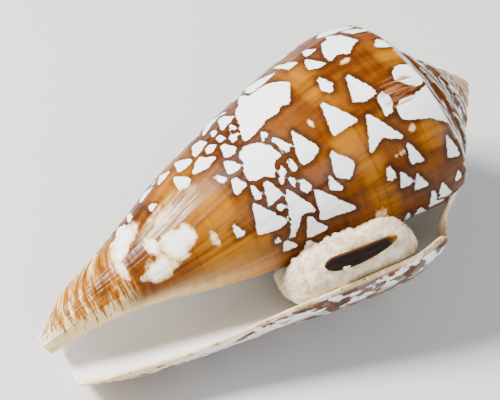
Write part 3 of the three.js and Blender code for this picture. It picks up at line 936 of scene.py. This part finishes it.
def add_scars(g, s, colour):
    """Fine lines where growth halted: brown on cream toward the front, dark on rose toward the shoulder."""
    lines = g.drawn_out(s.back, 2.6, s.height, 0.12, 3.0, 0.7)
    scar = g.times(g.ease(lines, 0.48, 0.56), g.ease(s.scar, 0.2, 0.6))
    front_scar = g.mix(g.ease(lines, 0.54, 0.62), CREAM, BROWN)
    back_scar = g.mix(g.ease(lines, 0.54, 0.62), ROSE, UMBER)
    scar_colour = g.mix(g.ease(s.height, *SCARS_DARKEN), front_scar, back_scar)
    return g.mix(g.times(scar, 0.85), colour, scar_colour)


def add_lip_strip(g, s, colour):
    """Near the lip's edge: white with dark blotches, fewer toward the front."""
    blots = g.drawn_out(s.back, 0.45, s.height, 0.28, 3.0, 0.55)
    blots = g.plus(blots, g.ease(s.height, 16.0, 34.0, -0.02, 0.075))
    brown = g.mix(g.ease(s.threads, 0.4, 0.6), PLUM, g.mix(0.5, BROWN, ORANGE))
    pale = g.mix(g.ease(s.height, 6.0, 18.0, 0.75, 0.0), WHITE, g.mix(0.4, CREAM, TAN))
    strip = g.mix(g.ease(blots, 0.52, 0.57), pale, brown)
    return g.mix(g.ease(s.back, *LIP_STRIP_ENDS, 0.92, 0.0), colour, strip)


def add_spire_colour(g, s, colour):
    """White with brown blotches, rubbed at the apex, and a dark line along the suture: a real thin suture
    line, widened by painted shadow of the suture groove.
    """
    blotches = g.drawn_out(s.back, 0.34, s.row, 2.7, 3.0, 0.6, 0.2)
    brown = g.mix(g.ease(s.clouds, 0.4, 0.6), BROWN, ORANGE)
    spire = g.mix(g.ease(blotches, 0.455, 0.50), WHITE, brown)
    spire = g.mix(g.ease(s.height, *APEX_STARTS), spire, g.mix(0.35, CREAM, ROSE))
    colour = g.mix(g.ease(s.row, *SHOULDER_TURNS), colour, spire)
    # Dark line on both sides of the suture: a real thin suture line, widened into painted shadow of the
    # suture groove
    seam = g.math("MAXIMUM", g.ease(s.seam, 0.3, 0.8), g.ease(s.row, 1.93, 1.985))
    return g.mix(g.times(seam, 0.85), colour, PLUM)


def add_inside(g, s, colour):
    """Porcelain, with a tan margin along the lip's edge."""
    margin = g.times(g.ease(s.back, 0.2, 1.6, 0.8, 0.0), g.ease(s.specks, 0.35, 0.6))
    colour = g.mix(g.ease(s.inside, 0.35, 0.75), colour, g.mix(margin, PORCELAIN, TAN))
    worn = g.times(g.ease(s.back, 0.0, 0.9, 0.75, 0.0), g.ease(s.specks, 0.3, 0.5))
    return g.mix(worn, colour, CREAM)


def shell_material():
    g = Graph("tent_marked_shell")
    s = shell_values(g)
    colour = ground_colour(g, s)
    for layer in (add_front_end, add_tents, add_scars, add_lip_strip, add_spire_colour, add_inside):
        colour = layer(g, s, colour)
    g.set("Base Color", colour)
    g.set("Roughness", g.ease(g.noise(s.here, 0.6, 4.0, 0.6), 0.3, 0.7, 0.24, 0.38))
    g.set("Specular IOR Level", 0.13)
    g.set("Coat Weight", 0.04)
    g.set("Coat Roughness", 0.12)
    fine = g.drawn_out(s.back, 3.2, s.height, 0.25)
    grain = g.plus(g.times(fine, 0.7), g.times(g.noise(s.here, 2.2, 3.0, 0.6), 0.3))
    g.set("Normal", g.bump(grain, 0.06 * MM, g.ease(s.inside, 0.3, 0.8, 0.6, 0.12)))
    return g.material


# The cotton wad, with its loose fibres

WAD_BOTTOM = 28.2
WAD_TOP = 43.5
WAD_OUTER_TURN = -0.148
WAD_INNER_TURN = 0.1
WAD_GAP = 0.12
WAD_SQUARENESS = 0.55
WAD_ROUND = 170
WAD_ALONG = 130
FLUFF_HEIGHT = 0.17
TORN_EDGE = 0.055
FIBRE_SEED = 7
FIBRE_COUNT = 520
FIBRE_RADIUS = 0.02
FIBRE_STEPS = 8
FIBRE_BEND = 0.35
FIBRE_STRIDE = (0.9, 2.2)
FIBRE_LIFT = 0.16
FIBRE_CORNERS = (0, 2.1, 4.2)
COTTON_SHADE = (0.60, 0.46, 0.27, 1.0)
COTTON_LIGHT = (0.84, 0.74, 0.56, 1.0)


def squared(x):
    """A sine or cosine bent toward a square's."""
    return np.sign(x) * np.abs(x) ** WAD_SQUARENESS


def even_angles(start, end, count):
    """Angles whose points lie evenly along the squared circle."""
    dense = np.linspace(start, end, 6000)
    steps = np.hypot(np.diff(squared(np.cos(dense))), np.diff(squared(np.sin(dense))))
    length = np.concatenate([[0], np.cumsum(steps)])
    return np.interp(np.linspace(0, length[-1], count), length, dense)


def row_at_height(turns, height):
    rim = smooth(RIM_HEIGHT, turns)
    return np.clip((height - rim) / (smooth(SHOULDER_HEIGHT, turns) - rim), 0, 1)


def inside_opening(turns, across, height):
    """Points in or before the mouth: across is 0 on the inner whorl and 1 on the lip's inner face."""
    floor = side_face(turns + 1, row_at_height(turns + 1, height))[0] + WAD_GAP
    lip_turn = np.maximum(turns, float(smooth(LIP_EDGE, 0.6)))
    row = row_at_height(lip_turn, height)
    roof = side_face(lip_turn, row)[0] - wall_thickness(lip_turn, row) - WAD_GAP
    return place(turns, (floor + (roof - floor) * across, height))


def wad_grid():
    """The wad's surface and its outward directions, as rows along the mouth and columns round the wad."""
    angle = even_angles(0, math.pi, WAD_ALONG + 1)[1:-1, None]
    turn = -even_angles(0, 2 * math.pi, WAD_ROUND + 1)[None, :-1]
    girth = np.sin(angle) ** WAD_SQUARENESS
    height = WAD_BOTTOM + (WAD_TOP - WAD_BOTTOM) * (0.5 - 0.5 * squared(np.cos(angle))) + 0 * turn
    inward = girth * squared(np.cos(turn))
    across = 0.5 + 0.5 * girth * squared(np.sin(turn))
    ragged = np.sin(2.9 * height) * np.sin(1.7 * height + 1) + 0.5 * np.sin(7.3 * height)
    across = across + TORN_EDGE * ragged * ease(0.4 - across, 0, 0.3) * ease(-inward, 0.3, 0.8)
    lumps = np.sin(6.2 * inward + 0.65 * height) * np.sin(9.2 * across + 0.7)
    turns = 0.5 * (WAD_OUTER_TURN + WAD_INNER_TURN) + 0.5 * (WAD_INNER_TURN - WAD_OUTER_TURN) * inward
    points = inside_opening(turns + 0.004 * lumps * (inward < 0), across, height)
    round_step = np.roll(points, -1, axis=1) - np.roll(points, 1, axis=1)
    outward = np.cross(round_step, np.gradient(points, axis=0))
    outward /= np.linalg.norm(outward, axis=2, keepdims=True) + TINY
    return points, outward, inward


def fluff(points):
    """How far the loose surface stands out at each point, in mm."""
    flat = points.reshape(-1, 3).tolist()
    low = [noise.noise(Vector(p) * 0.5) for p in flat]
    fine = [noise.fractal(Vector(p) * 1.9, 0.7, 2.1, 4) for p in flat]
    return (FLUFF_HEIGHT * (np.array(low) + 0.7 * np.array(fine))).reshape(points.shape[:2])


def make_wad(material):
    skin = Skin()
    points, outward, inward = wad_grid()
    points = points + outward * fluff(points)[..., None]
    grid = skin.add(points)
    bottom, top = (skin.add(points[end].mean(axis=0)[None])[0] for end in (0, -1))
    skin.closed(grid, bottom, top)
    add_fibres(skin, points, outward, inward)
    add_crumb(skin)
    return skin.build("cotton_wad", material)


def add_fibres(skin, points, outward, inward):
    """Fine curved fibres that lie on the wad's open face, some of them lifting from it."""
    random = np.random.default_rng(FIBRE_SEED)
    open_face = np.argwhere(inward < -0.25)
    for _ in range(FIBRE_COUNT):
        row, column = open_face[random.integers(len(open_face))].astype(float)
        heading = random.uniform(0, 2 * math.pi)
        bend = random.uniform(-FIBRE_BEND, FIBRE_BEND)
        stride = random.uniform(*FIBRE_STRIDE)
        lift = random.uniform(0.0, FIBRE_LIFT)
        rings = []
        for step in range(FIBRE_STEPS):
            row_at = min(max(round(row), 0), len(points) - 1)
            column_at = round(column) % WAD_ROUND
            normal = outward[row_at, column_at]
            rise = FIBRE_RADIUS + lift * math.sin(math.pi * step / (FIBRE_STEPS - 1))
            centre = points[row_at, column_at] + normal * rise
            side = np.cross(normal, [math.cos(heading), math.sin(heading), 0.3])
            side /= np.linalg.norm(side) + TINY
            slim = FIBRE_RADIUS * (1 - 0.5 * abs(2 * step / (FIBRE_STEPS - 1) - 1))
            ring = [centre + slim * (math.cos(a) * side + math.sin(a) * normal) for a in FIBRE_CORNERS]
            index = skin.add(np.array(ring))
            rings.append([*index, index[0]])
            heading += bend
            row += stride * math.cos(heading)
            column += stride * math.sin(heading)
        skin.sheet(np.array(rings))
        skin.face(*rings[0][2::-1])
        skin.face(*rings[-1][:3])


def cotton_material():
    g = Graph("cotton_wool")
    here = g.object_mm()
    mottle = g.noise(here, 0.9, 4.0, 0.65)
    g.set("Base Color", g.mix(g.ease(mottle, 0.35, 0.65), COTTON_SHADE, COTTON_LIGHT))
    g.set("Roughness", 0.95)
    g.set("Specular IOR Level", 0.15)
    g.set("Sheen Weight", 0.25)
    g.set("Normal", g.bump(g.noise(here, 5.0, 4.0, 0.7), 0.1 * MM, 0.7))
    return g.material


# The operculum: a thin horny blade, rounded at its lower end and narrower at its upper end

OPERCULUM_LOW_END = (9.15, -11.0, 31.2)
OPERCULUM_HIGH_END = (10.95, -11.9, 40.3)
OPERCULUM_FACES = (0.3, -0.95, -0.05)
OPERCULUM_LENGTH = 9.3
OPERCULUM_WIDTH = 1.95
OPERCULUM_THICKNESS = 0.7
BLADE_WIDTH = [
    (0, 0), (0.03, 0.42), (0.09, 0.78), (0.2, 0.97), (0.35, 1), (0.6, 0.9), (0.8, 0.72), (0.92, 0.52),
    (0.975, 0.3), (1, 0),
]
BLADE_BEND = [(0, 0.05), (0.35, -0.06), (0.7, 0.02), (1, 0.22)]
BLADE_ALONG = 130
BLADE_ROUND = 96
GROOVE_PITCH = 0.24
GROOVE_DEPTH = 0.022
HORN_DARK = (0.002, 0.001, 0.0007, 1.0)
HORN_BROWN = (0.02, 0.0055, 0.001, 1.0)
HORN_RIM = (0.10, 0.027, 0.0012, 1.0)
HORN_END = (0.50, 0.19, 0.004, 1.0)

# The crumb of wool stuck to the blade: share of the blade's length and width, radius, and fineness

CRUMB_AT = (0.26, -0.44)
CRUMB_SIZE = 0.34
CRUMB_UP = 15
CRUMB_ROUND = 20


def blade_axes():
    """The blade's middle, and the directions along it, across it and out of it."""
    low, high = np.array(OPERCULUM_LOW_END), np.array(OPERCULUM_HIGH_END)
    lengthwise = (high - low) / np.linalg.norm(high - low)
    outward = np.array(OPERCULUM_FACES) - lengthwise * np.dot(OPERCULUM_FACES, lengthwise)
    outward /= np.linalg.norm(outward)
    return (low + high) / 2, lengthwise, np.cross(outward, lengthwise), outward


def on_blade(along, across, up):
    middle, lengthwise, sideways, outward = blade_axes()
    along, across, up = np.broadcast_arrays(along, across, up)
    return middle + along[..., None] * lengthwise + across[..., None] * sideways + up[..., None] * outward


def make_operculum(material):
    skin = Skin(["rim", "share", "across"])
    share = (0.5 - 0.5 * np.cos(np.pi * np.arange(1, BLADE_ALONG) / BLADE_ALONG))[:, None]
    turn = (2 * np.pi * np.arange(BLADE_ROUND) / BLADE_ROUND)[None, :]
    width = smooth(BLADE_WIDTH, share)
    bend = OPERCULUM_WIDTH * smooth(BLADE_BEND, share)
    across = 0.5 * OPERCULUM_WIDTH * width * np.cos(turn)
    up = 0.5 * OPERCULUM_THICKNESS * np.sqrt(width) * np.sign(np.sin(turn)) * np.abs(np.sin(turn)) ** 0.7
    wander = 1.1 * np.sin(7 * share) + 0.5 * np.sin(19 * share + 1)
    grooves = np.sin(2 * np.pi * across / GROOVE_PITCH + wander)
    grooves = grooves + 0.6 * np.sin(4.7 * np.pi * across / GROOVE_PITCH)
    up = up + GROOVE_DEPTH * grooves * np.clip(np.sin(turn), 0, 1) ** 0.5
    points = on_blade(OPERCULUM_LENGTH * (share - 0.5), across + bend, up)
    grid = skin.add(points, rim=np.abs(np.cos(turn)) ** 2, share=share, across=across)
    ends = []
    for at in (0, 1):
        end_along = np.array([OPERCULUM_LENGTH * (at - 0.5)])
        end = on_blade(end_along, OPERCULUM_WIDTH * smooth(BLADE_BEND, at), 0.0)
        ends.append(skin.add(end, rim=1.0, share=float(at))[0])
    skin.closed(grid, *ends)
    return skin.build("horny_operculum", material)


def add_crumb(skin):
    """A small pale crumb of wool stuck to the blade's lower edge."""
    middle_along = OPERCULUM_LENGTH * (CRUMB_AT[0] - 0.5)
    middle_across = OPERCULUM_WIDTH * CRUMB_AT[1]
    middle_up = 0.28 * OPERCULUM_THICKNESS
    half_height = 0.6 * CRUMB_SIZE
    up = np.linspace(-1, 1, CRUMB_UP)[1:-1, None]
    turn = np.linspace(0, 2 * np.pi, CRUMB_ROUND, endpoint=False)[None, :]
    lumpy = CRUMB_SIZE * (1 + 0.25 * np.sin(3 * turn + 2 * up) + 0.15 * np.sin(7 * turn - 3 * up))
    along = middle_along + 1.4 * lumpy * np.sqrt(1 - up**2) * np.cos(turn)
    across = middle_across + 0.8 * lumpy * np.sqrt(1 - up**2) * np.sin(turn)
    grid = skin.add(on_blade(along, across, middle_up + half_height * up))
    ends = []
    for end in (-1, 1):
        at = on_blade(np.array([middle_along]), middle_across, middle_up + half_height * end)
        ends.append(skin.add(at)[0])
    skin.closed(grid, *ends)


def horn_material():
    g = Graph("dark_horn")
    share, rim, across = g.value("share"), g.value("rim"), g.value("across")
    lines = g.drawn_out(share, 2.2, across, 5.0, 4.0, 0.7)
    wear = g.noise(g.object_mm(), 1.4, 4.0, 0.65)
    colour = g.mix(g.ease(lines, 0.45, 0.62), HORN_DARK, HORN_BROWN)
    to_rim = g.plus(rim, g.centred(wear, 0.5))
    colour = g.mix(g.ease(to_rim, 0.55, 0.95), colour, HORN_RIM)
    to_end = g.plus(share, g.centred(wear, 0.12))
    bright = g.times(g.ease(to_end, 0.84, 0.99), g.ease(rim, 0.1, 0.7, 0.35, 1.0))
    colour = g.mix(bright, colour, HORN_END)
    g.set("Base Color", colour)
    g.set("Roughness", g.ease(wear, 0.3, 0.7, 0.38, 0.55))
    g.set("Specular IOR Level", 0.14)
    g.set("Normal", g.bump(lines, 0.05 * MM, 0.6))
    return g.material


# Scene: lights are given as name, place, size, watts and colour, and all aim at the shell's middle

FLOOR_COLOUR = (0.6105, 0.6105, 0.5972, 1.0)
FLOOR_HALF = 2.0
LIGHTS = [
    ("key", (-0.25, 0.15, 0.31), 0.13, 6.4, (1.0, 0.985, 0.96)),
    ("fill", (-0.12, -0.38, 0.3), 0.2, 0.8, (0.96, 0.98, 1.0)),
    ("side", (0.34, -0.3, 0.12), 0.25, 0.9, (1.0, 0.99, 0.97)),
]
LIGHTS_AIM = (0, 0, 0.012)
SKY_COLOUR = (0.9, 0.94, 1.0, 1.0)
SKY_STRENGTH = 0.6


def make_camera():
    dip, roll = VIEW_DIP, VIEW_ROLL
    toward = np.array([0, -math.cos(dip), -math.sin(dip)])
    right = np.array([math.sin(roll), -math.sin(dip) * math.cos(roll), math.cos(dip) * math.cos(roll)])
    up = np.array([-math.cos(roll), -math.sin(dip) * math.sin(roll), math.cos(dip) * math.sin(roll)])
    place_at = to_frame(np.array(VIEW_TARGET) + VIEW_DISTANCE * toward)
    turned = np.stack([TURN @ right, TURN @ up, TURN @ toward], 1)
    data = bpy.data.cameras.new("camera")
    data.sensor_width = SENSOR_WIDTH
    data.lens = FOCAL_PIXELS * SENSOR_WIDTH / FRAME_SIZE[0]
    data.shift_x = (FRAME_SIZE[0] / 2 - TARGET_PIXEL[0]) / FRAME_SIZE[0]
    data.shift_y = (TARGET_PIXEL[1] - FRAME_SIZE[1] / 2) / FRAME_SIZE[0]
    data.clip_start = 0.01
    camera = add_to_scene("camera", data)
    camera.matrix_world = Matrix.Translation(Vector(place_at)) @ Matrix(turned.tolist()).to_4x4()
    bpy.context.scene.camera = camera


def make_floor():
    g = Graph("pale_floor")
    g.set("Base Color", FLOOR_COLOUR)
    g.set("Roughness", 0.7)
    mesh = bpy.data.meshes.new("floor")
    half = FLOOR_HALF
    corners = [(-half, -half, 0), (half, -half, 0), (half, half, 0), (-half, half, 0)]
    mesh.from_pydata(corners, [], [(0, 1, 2, 3)])
    mesh.materials.append(g.material)
    floor = add_to_scene("floor", mesh)


def make_lights():
    for name, place_at, size, watts, colour in LIGHTS:
        data = bpy.data.lights.new(name, "AREA")
        data.shape = "DISK"
        data.size = size
        data.energy = watts
        data.color = colour
        light = add_to_scene(name, data)
        light.location = place_at
        direction = Vector(LIGHTS_AIM) - Vector(place_at)
        light.rotation_euler = direction.to_track_quat("-Z", "Y").to_euler()
    world = bpy.data.worlds.new("studio")
    world.use_nodes = True
    background = world.node_tree.nodes["Background"]
    background.inputs["Color"].default_value = SKY_COLOUR
    background.inputs["Strength"].default_value = SKY_STRENGTH
    bpy.context.scene.world = world


make_camera()
make_floor()
make_lights()

shell = make_shell(shell_material())
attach(shell, "root")
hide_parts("shell")

cotton_wad = make_wad(cotton_material())
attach(cotton_wad, "root")
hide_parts("cotton_plug")

horny_operculum = make_operculum(horn_material())
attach(horny_operculum, "root")
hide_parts("operculum")
